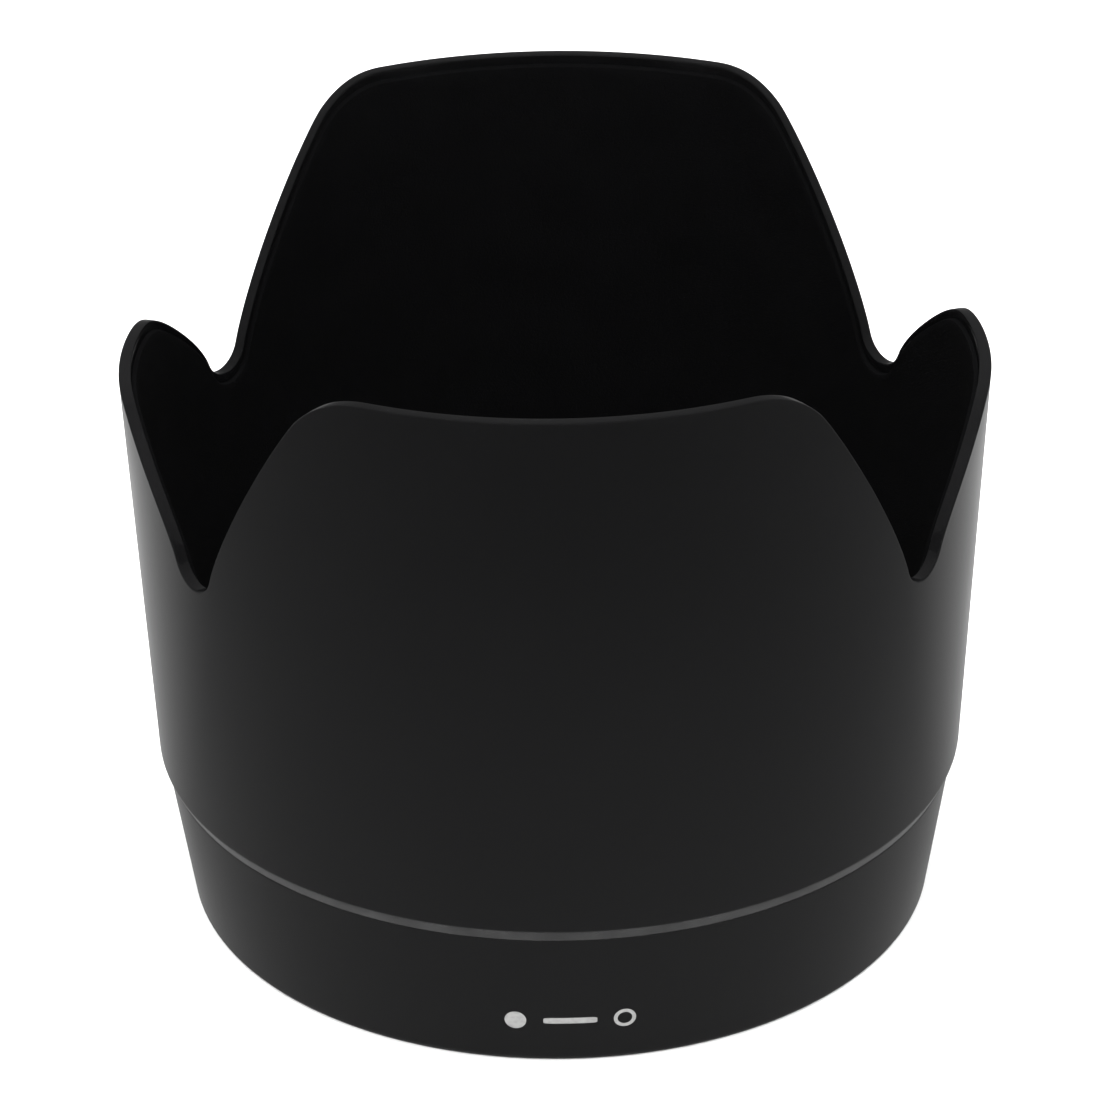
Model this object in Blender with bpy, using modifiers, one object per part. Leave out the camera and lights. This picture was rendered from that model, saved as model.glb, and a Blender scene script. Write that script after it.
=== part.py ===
"""Petal lens hood for a telephoto zoom: a four-petal barrel, its flocked lining, the collar that
slips over the lens, the bayonet ring clamped between the two, four screws and two click springs.

Origin at the centre of the collar's rear face, +Z towards the petal tips.  The two tall petals
stand at -Y (the side with the alignment mark) and +Y, the two low ones at -X and +X.
"""

import math

import bmesh
import bpy
from mathutils import Matrix, Vector
from mathutils.geometry import interpolate_bezier

MM = 0.001
GAP = 0.3 * MM

# Turned shape of the outside
COLLAR_FOOT_RADIUS = 45.0 * MM
COLLAR_HEAD_RADIUS = 47.7 * MM
COLLAR_HEIGHT = 18.0 * MM
BARREL_FOOT_RADIUS = 47.76 * MM
BARREL_FOOT_Z = COLLAR_HEIGHT + GAP
SEAM_RADIUS = 48.45 * MM
SEAM_Z = 19.6 * MM
TIP_RADIUS = 51.65 * MM
TIP_Z = 85.42 * MM
BARREL_WALL = 1.43 * MM
COLLAR_WALL = 1.5 * MM
RIM_ROUND = 0.22 * MM

# Petal rim, from the middle of a tall petal round to the middle of a low one
TALL_FLAT_END = math.radians(23.97)
TALL_SHOULDER = math.radians(33.4)
TALL_SHOULDER_Z = 81.71 * MM
TALL_SHOULDER_FALL = math.radians(45.64)
VALLEY = math.radians(55.63)
VALLEY_Z = 53.37 * MM
VALLEY_RADIUS = 3.86 * MM
VALLEY_FLANK = math.radians(68.99)
LOW_SHOULDER = math.radians(72.44)
LOW_SHOULDER_Z = 66.38 * MM
LOW_SHOULDER_RISE = math.radians(29.43)
LOW_PETAL_Z = 68.62 * MM
UNROLL_RADIUS = 50.0 * MM

# Clamp flange at the foot of the barrel
FLANGE_INNER_RADIUS = 42.6 * MM
FLANGE_BOTTOM_Z = 20.6 * MM
FLANGE_TOP_Z = 22.8 * MM
COUNTERBORE_RADIUS = 46.6 * MM
FLANGE_FILLET = 0.9 * MM

# Flocked lining
FLOCK_THICKNESS = 0.45 * MM
FLOCK_FOOT_Z = 24.5 * MM
FLOCK_RIM_SETBACK = 1.2 * MM

# Bayonet ring
BORE_RADIUS = 41.9 * MM
SKIRT_RADIUS = 43.1 * MM
RING_BOTTOM_Z = 8.7 * MM
RING_FLANGE_TOP_Z = FLANGE_BOTTOM_Z - GAP
RING_FLANGE_RADIUS = COUNTERBORE_RADIUS - GAP
LUG_RADIUS = 40.4 * MM
LUG_HEIGHT = 1.8 * MM
LUG_ANGLES = [math.radians(a) for a in (90, 210, 330)]
LUG_SPAN = math.radians(34)

# Collar
COLLAR_SHOULDER_Z = 14.0 * MM
COLLAR_SEAT_RADIUS = SKIRT_RADIUS + GAP
FOOT_ROUND = 0.5 * MM
POCKET_SLOT_RADIUS = 45.0 * MM
POCKET_SLOT_HALF_SPAN = math.radians(15.6)

# Screws, driven from inside the barrel down into the collar
SCREW_ANGLES = [math.radians(a) for a in (45, 135, 225, 315)]
SCREW_CIRCLE = 44.8 * MM
SCREW_RADIUS = 0.8 * MM
SCREW_HOLE_RADIUS = 1.0 * MM
SCREW_HEAD_RADIUS = 1.5 * MM
SCREW_HEAD_HEIGHT = 1.1 * MM
SCREW_TIP_Z = 14.8 * MM
RECESS_WIDTH = 0.4 * MM
RECESS_LENGTH = 1.7 * MM
RECESS_DEPTH = 0.6 * MM
RECESS_TURN = 1.7

# Click springs: steel strips behind the bayonet ring whose noses stand through its windows
CLICK_ANGLES = {"left": math.radians(180), "right": 0.0}
SPRING_THICKNESS = 0.3 * MM
SPRING_RADIUS = 43.7 * MM
SPRING_HALF_SPAN = math.radians(11.5)
SPRING_BOTTOM_Z = 9.8 * MM
SPRING_TOP_Z = 12.6 * MM
NOSE_HALF_WIDTH = math.radians(3.9)
NOSE_DEPTH = 2.35 * MM
WINDOW_HALF_WIDTH = 3.3 * MM
WINDOW_BOTTOM_Z = 9.4 * MM
WINDOW_TOP_Z = 13.0 * MM
POCKET_RADIUS = 44.5 * MM
POCKET_HALF_SPAN = math.radians(13.2)
POCKET_WALL = math.radians(1.3)
POCKET_TOP_Z = 12.9 * MM

TURNED_STEPS = 96
SCREW_STEPS = 20


def start_empty():
    """Remove every object and make the two collections."""
    for item in list(bpy.data.objects):
        bpy.data.objects.remove(item, do_unlink=True)
    collections = []
    for name in ("lens_hood", "cutters"):
        collection = bpy.data.collections.new(name)
        bpy.context.scene.collection.children.link(collection)
        collections.append(collection)
    return collections


PARTS, CUTTERS = start_empty()


def material(name, colour, roughness, metallic=0.0):
    """A Principled material of one colour."""
    made = bpy.data.materials.new(name)
    made.use_nodes = True
    shader = made.node_tree.nodes["Principled BSDF"]
    shader.inputs["Base Color"].default_value = (*colour, 1.0)
    shader.inputs["Roughness"].default_value = roughness
    shader.inputs["Metallic"].default_value = metallic
    made.diffuse_color = (*colour, 1.0)
    return made


def link_mesh(name, bm, collection, finish=None):
    """Turn a bmesh into an object of the given collection."""
    bmesh.ops.recalc_face_normals(bm, faces=bm.faces)
    mesh = bpy.data.meshes.new(name)
    bm.to_mesh(mesh)
    bm.free()
    item = bpy.data.objects.new(name, mesh)
    collection.objects.link(item)
    if finish:
        mesh.materials.append(finish)
        mesh.shade_smooth()
        mesh.set_sharp_from_angle(angle=math.radians(30))
    else:
        item.hide_render = True
        item.display_type = "WIRE"
    return item


def turned(name, profile, collection, finish=None, steps=TURNED_STEPS):
    """Turn a (radius, height) profile round Z with a Screw modifier.

    The profile is a closed loop, or runs from the axis back to the axis.
    """
    bm = bmesh.new()
    verts = [bm.verts.new((radius, 0, z)) for radius, z in profile]
    on_axis = profile[0][0] == 0
    after = verts[1:] if on_axis else verts[1:] + verts[:1]
    for first, second in zip(verts, after):
        bm.edges.new((first, second))
    item = link_mesh(name, bm, collection, finish)
    screw = item.modifiers.new("turn", "SCREW")
    screw.axis = "Z"
    screw.angle = math.tau
    screw.steps = steps
    screw.render_steps = steps
    screw.use_merge_vertices = True
    screw.merge_threshold = 0.00001
    screw.use_smooth_shade = True
    return item


def boolean(item, operation, tool):
    """Cut item with tool, or join tool to it, exactly."""
    modifier = item.modifiers.new(operation.lower(), "BOOLEAN")
    modifier.operation = operation
    modifier.solver = "EXACT"
    modifier.object = tool


def rod(name, radius, bottom, top, segments=24):
    """A cutter rod along Z, standing on the screw circle at +X before it is turned into place."""
    bm = bmesh.new()
    bmesh.ops.create_cone(
        bm, cap_ends=True, segments=segments, radius1=radius, radius2=radius, depth=top - bottom
    )
    bmesh.ops.translate(bm, verts=bm.verts, vec=(SCREW_CIRCLE, 0, (top + bottom) / 2))
    return link_mesh(name, bm, CUTTERS)


def box(bm, low, high, turn=0.0):
    """Add a box between two corners to bm, then turn it about Z."""
    size = Vector(high) - Vector(low)
    middle = (Vector(high) + Vector(low)) / 2
    place = Matrix.Rotation(turn, 4, "Z") @ Matrix.Translation(middle)
    bmesh.ops.create_cube(bm, size=1.0, matrix=place @ Matrix.Diagonal((*size, 1.0)))


def sector_block(name, radii, heights, angles, steps, collection):
    """A block of rectangular section carried round an arc: radii, heights and angles are pairs."""
    bm = bmesh.new()
    corners = [(radii[0], heights[0]), (radii[1], heights[0]), (radii[1], heights[1]), (radii[0], heights[1])]
    sections = []
    for step in range(steps + 1):
        angle = angles[0] + (angles[1] - angles[0]) * step / steps
        sections.append([bm.verts.new((r * math.cos(angle), r * math.sin(angle), z)) for r, z in corners])
    for first, second in zip(sections, sections[1:]):
        for side in range(4):
            after = (side + 1) % 4
            bm.faces.new((first[side], first[after], second[after], second[side]))
    bm.faces.new(sections[0])
    bm.faces.new(list(reversed(sections[-1])))
    return link_mesh(name, bm, collection)


def cut_screw_holes(item, bottom, top):
    """Drill the four screw holes through item between two heights."""
    for number, angle in enumerate(SCREW_ANGLES, 1):
        drill = rod(f"{item.name}_drill_{number}", SCREW_HOLE_RADIUS, bottom, top, segments=20)
        drill.rotation_euler.z = angle
        boolean(item, "DIFFERENCE", drill)


# ---- Petal rim ----


def bezier(start, start_pull, end_pull, end, count):
    """Points of one curve from start to end, without the last one."""
    points = interpolate_bezier(
        Vector(start), Vector(start) + Vector(start_pull), Vector(end) + Vector(end_pull), Vector(end), count + 1
    )
    return [(point.x, point.y) for point in points[:-1]]


def heading(angle, length):
    """A step of the given length along a heading in the unrolled rim."""
    return (length * math.cos(angle), length * math.sin(angle))


def quarter_rim():
    """Rim of a quarter of the barrel as (angle from the tall petal's middle, height).

    The rim is drawn on the unrolled wall: flat top, round shoulder, long flank, round valley,
    steep flank and shoulder of the low petal, and its flat top.
    """
    flat_end = (TALL_FLAT_END * UNROLL_RADIUS, TIP_Z)
    shoulder = (TALL_SHOULDER * UNROLL_RADIUS, TALL_SHOULDER_Z)
    valley_centre = Vector((VALLEY * UNROLL_RADIUS, VALLEY_Z + VALLEY_RADIUS))
    side = Vector((math.sin(VALLEY_FLANK), -math.cos(VALLEY_FLANK))) * VALLEY_RADIUS
    valley_start = (valley_centre.x - side.x, valley_centre.y + side.y)
    valley_end = (valley_centre.x + side.x, valley_centre.y + side.y)
    low_shoulder = (LOW_SHOULDER * UNROLL_RADIUS, LOW_SHOULDER_Z)
    low_middle = (math.pi / 2 * UNROLL_RADIUS, LOW_PETAL_Z)

    points = [(flat_end[0] * step / 4, TIP_Z) for step in range(4)]
    points += bezier(
        flat_end, (2.75 * MM, 0), heading(math.pi - TALL_SHOULDER_FALL, 3.99 * MM), shoulder, 6
    )
    points += bezier(
        shoulder, heading(-TALL_SHOULDER_FALL, 2.74 * MM), heading(math.pi - VALLEY_FLANK, 6.43 * MM), valley_start, 6
    )
    for step in range(6):
        swing = VALLEY_FLANK * (step / 3 - 1)
        points.append(
            (
                valley_centre.x + VALLEY_RADIUS * math.sin(swing),
                valley_centre.y - VALLEY_RADIUS * math.cos(swing),
            )
        )
    points += bezier(
        valley_end,
        heading(VALLEY_FLANK, 3.8 * MM),
        heading(LOW_SHOULDER_RISE + math.pi, 3.8 * MM),
        low_shoulder,
        4,
    )
    points += bezier(low_shoulder, heading(LOW_SHOULDER_RISE, 4.26 * MM), (-10.61 * MM, 0), low_middle, 6)
    points.append(low_middle)
    return [(distance / UNROLL_RADIUS, height) for distance, height in points]


def full_rim():
    """The whole rim as (angle round Z, height), the quarter mirrored in both planes."""
    quarter = quarter_rim()
    half = quarter + [(math.pi - angle, height) for angle, height in reversed(quarter[:-1])]
    back = [(math.tau - angle, height) for angle, height in reversed(half[1:-1])]
    return [(angle - math.pi / 2, height) for angle, height in half + back]


RIM = full_rim()


def wall_radius(z):
    """Outer radius of the barrel at a height: a straight taper from the seam to the tips."""
    return SEAM_RADIUS + (TIP_RADIUS - SEAM_RADIUS) * (z - SEAM_Z) / (TIP_Z - SEAM_Z)


def petal_loft(name, section, finish):
    """Loft a closed wall through one radial section for each rim point.

    section takes the rim height and gives (radius, height) points, down the outside, in along
    the foot, up the inside and out over the rim.
    """
    bm = bmesh.new()
    rings = []
    for angle, rim_z in RIM:
        rings.append([bm.verts.new((r * math.cos(angle), r * math.sin(angle), z)) for r, z in section(rim_z)])
    for first, second in zip(rings, rings[1:] + rings[:1]):
        count = len(first)
        for index in range(count):
            after = (index + 1) % count
            bm.faces.new((first[index], second[index], second[after], first[after]))
    return link_mesh(name, bm, PARTS, finish)


# ---- Sub-parts ----


def barrel_section(rim_z):
    """Section of the barrel under a rim point, with its clamp flange and counterbore."""
    outer = wall_radius(rim_z)
    inner = outer - BARREL_WALL
    fillet_z = FLANGE_TOP_Z + FLANGE_FILLET
    foot_inner = wall_radius(fillet_z) - BARREL_WALL
    return [
        (outer, rim_z - RIM_ROUND),
        (SEAM_RADIUS, SEAM_Z),
        (BARREL_FOOT_RADIUS, BARREL_FOOT_Z),
        (COUNTERBORE_RADIUS, BARREL_FOOT_Z),
        (COUNTERBORE_RADIUS, FLANGE_BOTTOM_Z),
        (FLANGE_INNER_RADIUS, FLANGE_BOTTOM_Z),
        (FLANGE_INNER_RADIUS, FLANGE_TOP_Z),
        (foot_inner - FLANGE_FILLET, FLANGE_TOP_Z),
        (foot_inner - FLANGE_FILLET * 0.3, FLANGE_TOP_Z + FLANGE_FILLET * 0.3),
        (foot_inner, fillet_z),
        (inner, rim_z - RIM_ROUND),
        (inner + RIM_ROUND, rim_z),
        (outer - RIM_ROUND, rim_z),
    ]


def lining_section(rim_z):
    """Section of the flocked lining, which stops short of the rim."""
    top = rim_z - FLOCK_RIM_SETBACK
    skin = BARREL_WALL + GAP
    return [
        (wall_radius(top) - skin, top),
        (wall_radius(FLOCK_FOOT_Z) - skin, FLOCK_FOOT_Z),
        (wall_radius(FLOCK_FOOT_Z) - skin - FLOCK_THICKNESS, FLOCK_FOOT_Z),
        (wall_radius(top) - skin - FLOCK_THICKNESS, top),
    ]


def make_barrel():
    """Moulded barrel with four petals, drilled for the screws."""
    plastic = material("barrel_plastic", (0.012, 0.012, 0.013), 0.42)
    barrel = petal_loft("petal_barrel", barrel_section, plastic)
    cut_screw_holes(barrel, FLANGE_BOTTOM_Z - 1 * MM, FLANGE_TOP_Z + 1 * MM)


def make_lining():
    """Black flock on the inside of the barrel."""
    flock = material("flock", (0.004, 0.004, 0.004), 1.0)
    petal_loft("flock_lining", lining_section, flock)


def make_collar():
    """Tapered collar with the thick shoulder that the screws bite into."""
    plastic = material("collar_plastic", (0.014, 0.014, 0.015), 0.4)
    taper = (COLLAR_HEAD_RADIUS - COLLAR_FOOT_RADIUS) / COLLAR_HEIGHT
    inner_foot = COLLAR_FOOT_RADIUS - COLLAR_WALL
    inner_top_z = COLLAR_SHOULDER_Z - 1 * MM
    profile = [
        (COLLAR_HEAD_RADIUS, COLLAR_HEIGHT),
        (COLLAR_FOOT_RADIUS + taper * FOOT_ROUND * 2, FOOT_ROUND * 2),
        (COLLAR_FOOT_RADIUS - FOOT_ROUND * 0.1, FOOT_ROUND),
        (COLLAR_FOOT_RADIUS - FOOT_ROUND * 0.6, 0),
        (inner_foot + FOOT_ROUND * 0.4, 0),
        (inner_foot, FOOT_ROUND),
        (inner_foot + taper * inner_top_z, inner_top_z),
        (inner_foot + taper * inner_top_z - 1 * MM, COLLAR_SHOULDER_Z),
        (COLLAR_SEAT_RADIUS, COLLAR_SHOULDER_Z),
        (COLLAR_SEAT_RADIUS, COLLAR_HEIGHT),
    ]
    collar = turned("mount_collar", profile, PARTS, plastic)
    for side, angle in CLICK_ANGLES.items():
        slot = sector_block(
            f"pocket_slot_{side}",
            (COLLAR_SEAT_RADIUS - 1 * MM, POCKET_SLOT_RADIUS),
            (COLLAR_SHOULDER_Z - 0.9 * MM, COLLAR_HEIGHT + 1 * MM),
            (angle - POCKET_SLOT_HALF_SPAN, angle + POCKET_SLOT_HALF_SPAN),
            9,
            CUTTERS,
        )
        boolean(collar, "DIFFERENCE", slot)
    cut_screw_holes(collar, COLLAR_SHOULDER_Z - 1 * MM, COLLAR_HEIGHT + 1 * MM)


def make_ring():
    """Bayonet ring: flange, skirt, three lugs, two windows and the spring pockets behind them."""
    plastic = material("ring_plastic", (0.016, 0.016, 0.017), 0.5)
    profile = [
        (RING_FLANGE_RADIUS, RING_FLANGE_TOP_Z),
        (RING_FLANGE_RADIUS, BARREL_FOOT_Z),
        (SKIRT_RADIUS, BARREL_FOOT_Z),
        (SKIRT_RADIUS, RING_BOTTOM_Z),
        (BORE_RADIUS, RING_BOTTOM_Z),
        (BORE_RADIUS, RING_FLANGE_TOP_Z),
    ]
    ring = turned("bayonet_ring", profile, PARTS, plastic)
    overlap = 0.5 * MM
    for number, angle in enumerate(LUG_ANGLES, 1):
        lug = sector_block(
            f"lug_{number}",
            (LUG_RADIUS, BORE_RADIUS + overlap),
            (RING_BOTTOM_Z + 0.2 * MM, RING_BOTTOM_Z + 0.2 * MM + LUG_HEIGHT),
            (angle - LUG_SPAN / 2, angle + LUG_SPAN / 2),
            10,
            CUTTERS,
        )
        boolean(ring, "UNION", lug)
    for side, angle in CLICK_ANGLES.items():
        radii = (SKIRT_RADIUS - overlap, POCKET_RADIUS)
        outer_angle = POCKET_HALF_SPAN + POCKET_WALL
        floor_top = WINDOW_BOTTOM_Z
        floor = sector_block(
            f"pocket_floor_{side}",
            radii,
            (RING_BOTTOM_Z + 0.1 * MM, floor_top),
            (angle - outer_angle, angle + outer_angle),
            8,
            CUTTERS,
        )
        boolean(ring, "UNION", floor)
        for end in (-1, 1):
            wall = sector_block(
                f"pocket_end_{side}_{end}",
                radii,
                (floor_top - 0.3 * MM, POCKET_TOP_Z),
                (angle + end * (POCKET_HALF_SPAN + 0.003), angle + end * (outer_angle - 0.003)),
                1,
                CUTTERS,
            )
            boolean(ring, "UNION", wall)
        bm = bmesh.new()
        window_low = (BORE_RADIUS - 1 * MM, -WINDOW_HALF_WIDTH, WINDOW_BOTTOM_Z + 0.15 * MM)
        window_high = (SKIRT_RADIUS + 1 * MM, WINDOW_HALF_WIDTH, WINDOW_TOP_Z)
        box(bm, window_low, window_high, angle)
        boolean(ring, "DIFFERENCE", link_mesh(f"window_{side}", bm, CUTTERS))
    cut_screw_holes(ring, BARREL_FOOT_Z - 1 * MM, RING_FLANGE_TOP_Z + 1 * MM)


def screw_profile():
    """Half section of a pan-head screw, from the head's centre down to the tip."""
    seat = FLANGE_TOP_Z + GAP
    crown = seat + SCREW_HEAD_HEIGHT
    return [
        (0, crown),
        (SCREW_HEAD_RADIUS * 0.72, crown - 0.08 * MM),
        (SCREW_HEAD_RADIUS * 0.95, crown - 0.4 * MM),
        (SCREW_HEAD_RADIUS, seat),
        (SCREW_RADIUS, seat),
        (SCREW_RADIUS, SCREW_TIP_Z + 0.5 * MM),
        (SCREW_RADIUS * 0.6, SCREW_TIP_Z),
        (0, SCREW_TIP_Z),
    ]


def make_screws():
    """Four pan-head cross-recess screws on the flange."""
    steel = material("black_screw_steel", (0.05, 0.05, 0.052), 0.35, 0.9)
    crown = FLANGE_TOP_Z + GAP + SCREW_HEAD_HEIGHT
    bm = bmesh.new()
    arm_low = (-RECESS_LENGTH / 2, -RECESS_WIDTH / 2, crown - RECESS_DEPTH)
    arm_high = (RECESS_LENGTH / 2, RECESS_WIDTH / 2, crown + 1 * MM)
    for turn in (0, math.pi / 2):
        box(bm, arm_low, arm_high, turn)
    cross = link_mesh("screw_recess", bm, CUTTERS)
    for number, angle in enumerate(SCREW_ANGLES, 1):
        screw = turned(f"screw_{number}", screw_profile(), PARTS, steel, SCREW_STEPS)
        screw.location = (SCREW_CIRCLE * math.cos(angle), SCREW_CIRCLE * math.sin(angle), 0)
        recess = cross.copy()
        recess.location = screw.location
        recess.rotation_euler.z = angle * RECESS_TURN
        CUTTERS.objects.link(recess)
        boolean(screw, "DIFFERENCE", recess)
        screw.modifiers[-1].use_self = True


def nose_drop(angle):
    """How far the strip dips inwards: a raised cosine in the middle, nothing beyond it."""
    if abs(angle) >= NOSE_HALF_WIDTH:
        return 0.0
    return NOSE_DEPTH * (1 + math.cos(math.pi * angle / NOSE_HALF_WIDTH)) / 2


def make_click_springs():
    """Two spring-steel strips, each curved round the ring with a nose formed in its middle."""
    steel = material("spring_steel", (0.45, 0.44, 0.42), 0.3, 1.0)
    for side, place in CLICK_ANGLES.items():
        bm = bmesh.new()
        bmesh.ops.create_grid(bm, x_segments=46, y_segments=1, size=1.0)
        for vert in bm.verts:
            angle = vert.co.x * SPRING_HALF_SPAN
            radius = SPRING_RADIUS - nose_drop(angle)
            z = SPRING_BOTTOM_Z + (SPRING_TOP_Z - SPRING_BOTTOM_Z) * (vert.co.y + 1) / 2
            vert.co = (radius * math.cos(place + angle), radius * math.sin(place + angle), z)
        strip = link_mesh(f"click_spring_{side}", bm, PARTS, steel)
        solidify = strip.modifiers.new("thickness", "SOLIDIFY")
        solidify.thickness = SPRING_THICKNESS
        solidify.offset = 0.0


make_barrel()
make_lining()
make_collar()
make_ring()
make_screws()
make_click_springs()
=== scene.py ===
import math

import bmesh
import bpy
import numpy as np
from mathutils import Matrix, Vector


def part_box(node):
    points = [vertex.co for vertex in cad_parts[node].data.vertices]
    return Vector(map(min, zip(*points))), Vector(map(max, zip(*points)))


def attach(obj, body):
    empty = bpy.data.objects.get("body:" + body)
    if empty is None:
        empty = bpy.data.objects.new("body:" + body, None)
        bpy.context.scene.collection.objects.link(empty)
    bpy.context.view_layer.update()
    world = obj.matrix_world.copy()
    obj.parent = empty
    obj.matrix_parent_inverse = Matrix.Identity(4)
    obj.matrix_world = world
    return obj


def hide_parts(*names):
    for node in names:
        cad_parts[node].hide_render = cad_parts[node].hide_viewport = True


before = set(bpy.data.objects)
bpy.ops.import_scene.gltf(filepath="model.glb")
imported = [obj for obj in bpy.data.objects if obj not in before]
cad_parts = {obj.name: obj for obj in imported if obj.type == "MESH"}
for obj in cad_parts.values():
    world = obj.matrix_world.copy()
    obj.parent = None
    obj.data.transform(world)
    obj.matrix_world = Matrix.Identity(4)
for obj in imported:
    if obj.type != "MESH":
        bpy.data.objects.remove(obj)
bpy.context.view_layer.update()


# ---------------------------------------------------------------------------------------------
# Collar: the tapered foot that slips over the end of the lens, moulded in black satin plastic.
# Its thick shoulder takes the screws, and two slots in it let the ring's pockets drop through.

MM = 0.001
COLLAR_FOOT_RADIUS = 45.0 * MM
COLLAR_TOP_RADIUS = 47.7 * MM
COLLAR_TOP = 18.0 * MM
COLLAR_WALL = 1.5 * MM
COLLAR_SHOULDER = 14.0 * MM
COLLAR_SEAT = 43.4 * MM
COLLAR_SLOPE = (COLLAR_TOP_RADIUS - COLLAR_FOOT_RADIUS) / COLLAR_TOP
COLLAR_SLOT_RADIUS = 45.0 * MM
COLLAR_SLOT_HALF = 15.6
SCREW_ANGLES = (45, 135, 225, 315)
SCREW_CIRCLE = 44.8 * MM
SCREW_HOLE = 1.0 * MM


def grid_mesh(name, points, wrap_along=False, wear=None):
    """A quad mesh over a grid of points, rows along the first axis, columns round the second.

    The last column joins the first, and the last row joins the first if wrap_along is set.
    Coincident points are welded, so a row of radius nought is a pole.  wear gives each row a
    number from nought to one, kept on its points for the material to read: real wear, and on the
    barrel's seam chamfer a painted sheen.
    """
    rows, columns = points.shape[:2]
    index = np.arange(rows * columns).reshape(rows, columns)
    beside = np.roll(index, -1, axis=1)
    quads = np.stack([index, beside, np.roll(beside, -1, axis=0), np.roll(index, -1, axis=0)], -1)
    if not wrap_along:
        quads = quads[:-1]
    quads = quads.reshape(-1, 4)
    mesh = bpy.data.meshes.new(name)
    mesh.vertices.add(rows * columns)
    mesh.vertices.foreach_set("co", points.reshape(-1).astype(np.float32))
    mesh.loops.add(quads.size)
    mesh.loops.foreach_set("vertex_index", quads.reshape(-1).astype(np.int32))
    mesh.polygons.add(len(quads))
    mesh.polygons.foreach_set("loop_start", np.arange(0, quads.size, 4, dtype=np.int32))
    mesh.update(calc_edges=True)
    if wear is not None:
        layer = mesh.attributes.new("wear", "FLOAT", "POINT")
        amount = np.broadcast_to(wear, (rows, columns))
        layer.data.foreach_set("value", amount.reshape(-1).astype(np.float32))
    work = bmesh.new()
    work.from_mesh(mesh)
    bmesh.ops.remove_doubles(work, verts=work.verts, dist=0.0005 * MM)
    bmesh.ops.recalc_face_normals(work, faces=work.faces)
    work.to_mesh(mesh)
    work.free()
    mesh.shade_smooth()
    return mesh


def turned(profile, angles):
    """Each (radius, height) row of the profile carried round Z: radius times cosine and sine."""
    radius = np.array([row[0] for row in profile])[:, None]
    height = np.array([row[1] for row in profile])[:, None] + 0 * angles
    return np.stack([radius * np.cos(angles), radius * np.sin(angles), height], axis=-1)


def evenly(columns):
    """That many angles, equally spaced once round."""
    return np.linspace(0, math.tau, columns, endpoint=False)


def rounded(radius, start, stop, count):
    """Steps round a small edge: radius times the cosine and sine of each angle in degrees."""
    swing = np.radians(np.linspace(start, stop, count))
    return [(radius * math.cos(a), radius * math.sin(a)) for a in swing]


def sector_outline(inner, outer, middle, half):
    """Plan of a sector of a ring: out along the outer arc, then back along the inner one."""
    swing = np.radians(np.linspace(middle - half, middle + half, 33))
    arc = np.stack([np.cos(swing), np.sin(swing)], axis=-1)
    return np.concatenate([outer * arc, inner * arc[::-1]])


def hole_outline(degrees, radius=SCREW_HOLE):
    """Plan of a round hole that stands on the screw circle."""
    swing = evenly(40)
    across = SCREW_CIRCLE * math.cos(math.radians(degrees)) + radius * np.cos(swing)
    along = SCREW_CIRCLE * math.sin(math.radians(degrees)) + radius * np.sin(swing)
    return np.stack([across, along], axis=-1)


def cut_through(mesh, prisms):
    """The mesh less straight prisms, each an outline in plan with a lower and an upper level.

    All of them are cut by one exact Boolean, whose result is kept as plain geometry.
    """
    points, faces, count = [], [], 0
    for outline, low, high in prisms:
        size = len(outline)
        ring = np.arange(size) + count
        after = np.roll(ring, -1)
        points.append(np.column_stack([outline, np.full(size, low)]))
        points.append(np.column_stack([outline, np.full(size, high)]))
        faces += np.stack([ring, after, after + size, ring + size], axis=-1).tolist()
        faces += [ring[::-1].tolist(), (ring + size).tolist()]
        count += 2 * size
    tool_mesh = bpy.data.meshes.new("tool")
    tool_mesh.from_pydata(np.concatenate(points).tolist(), [], faces)
    tool_mesh.shade_smooth()
    tool = bpy.data.objects.new("tool", tool_mesh)
    blank = bpy.data.objects.new("blank", mesh)
    for item in (tool, blank):
        bpy.context.scene.collection.objects.link(item)
    cut = blank.modifiers.new("cut", "BOOLEAN")
    cut.object = tool
    cut.operation = "DIFFERENCE"
    cut.solver = "EXACT"
    cut.use_hole_tolerant = True
    graph = bpy.context.evaluated_depsgraph_get()
    result = bpy.data.meshes.new_from_object(blank.evaluated_get(graph))
    result.name = mesh.name
    bpy.data.objects.remove(blank)
    bpy.data.objects.remove(tool)
    return result


def shader_node(tree, kind, sockets=None, **settings):
    """Add a shader node: its settings by name, then the values of its unlinked sockets."""
    made = tree.nodes.new("ShaderNode" + kind)
    for key, value in settings.items():
        setattr(made, key, value)
    for key, value in (sockets or {}).items():
        made.inputs[key].default_value = value
    return made


def new_finish(name, shader_kind="BsdfPrincipled"):
    """An empty node material whose one shader is linked to its output."""
    finish = bpy.data.materials.new(name)
    finish.use_nodes = True
    tree = finish.node_tree
    tree.nodes.clear()
    output = tree.nodes.new("ShaderNodeOutputMaterial")
    shader = shader_node(tree, shader_kind)
    tree.links.new(shader.outputs[0], output.inputs["Surface"])
    return finish, tree, shader


def span(tree, source, low, high, new_low, new_high):
    """Carry a value from one range to another, held at both ends, and give its socket."""
    sockets = {"From Min": low, "From Max": high, "To Min": new_low, "To Max": new_high}
    made = shader_node(tree, "MapRange", sockets)
    tree.links.new(source, made.inputs["Value"])
    return made.outputs["Result"]


def noise(tree, vector, scale, detail=3.0, roughness=0.55):
    """A cloud pattern on the given coordinates, as the socket of its value."""
    made = shader_node(tree, "TexNoise", {"Scale": scale, "Detail": detail, "Roughness": roughness})
    tree.links.new(vector, made.inputs["Vector"])
    return made.outputs["Fac"]


def blend_colours(tree, factor, dark, light):
    """Mix two colours by a value and give the mixed colour's socket."""
    made = shader_node(tree, "Mix", data_type="RGBA")
    made.inputs["A"].default_value = (*dark, 1.0)
    made.inputs["B"].default_value = (*light, 1.0)
    tree.links.new(factor, made.inputs["Factor"])
    return made.outputs["Result"]


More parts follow.
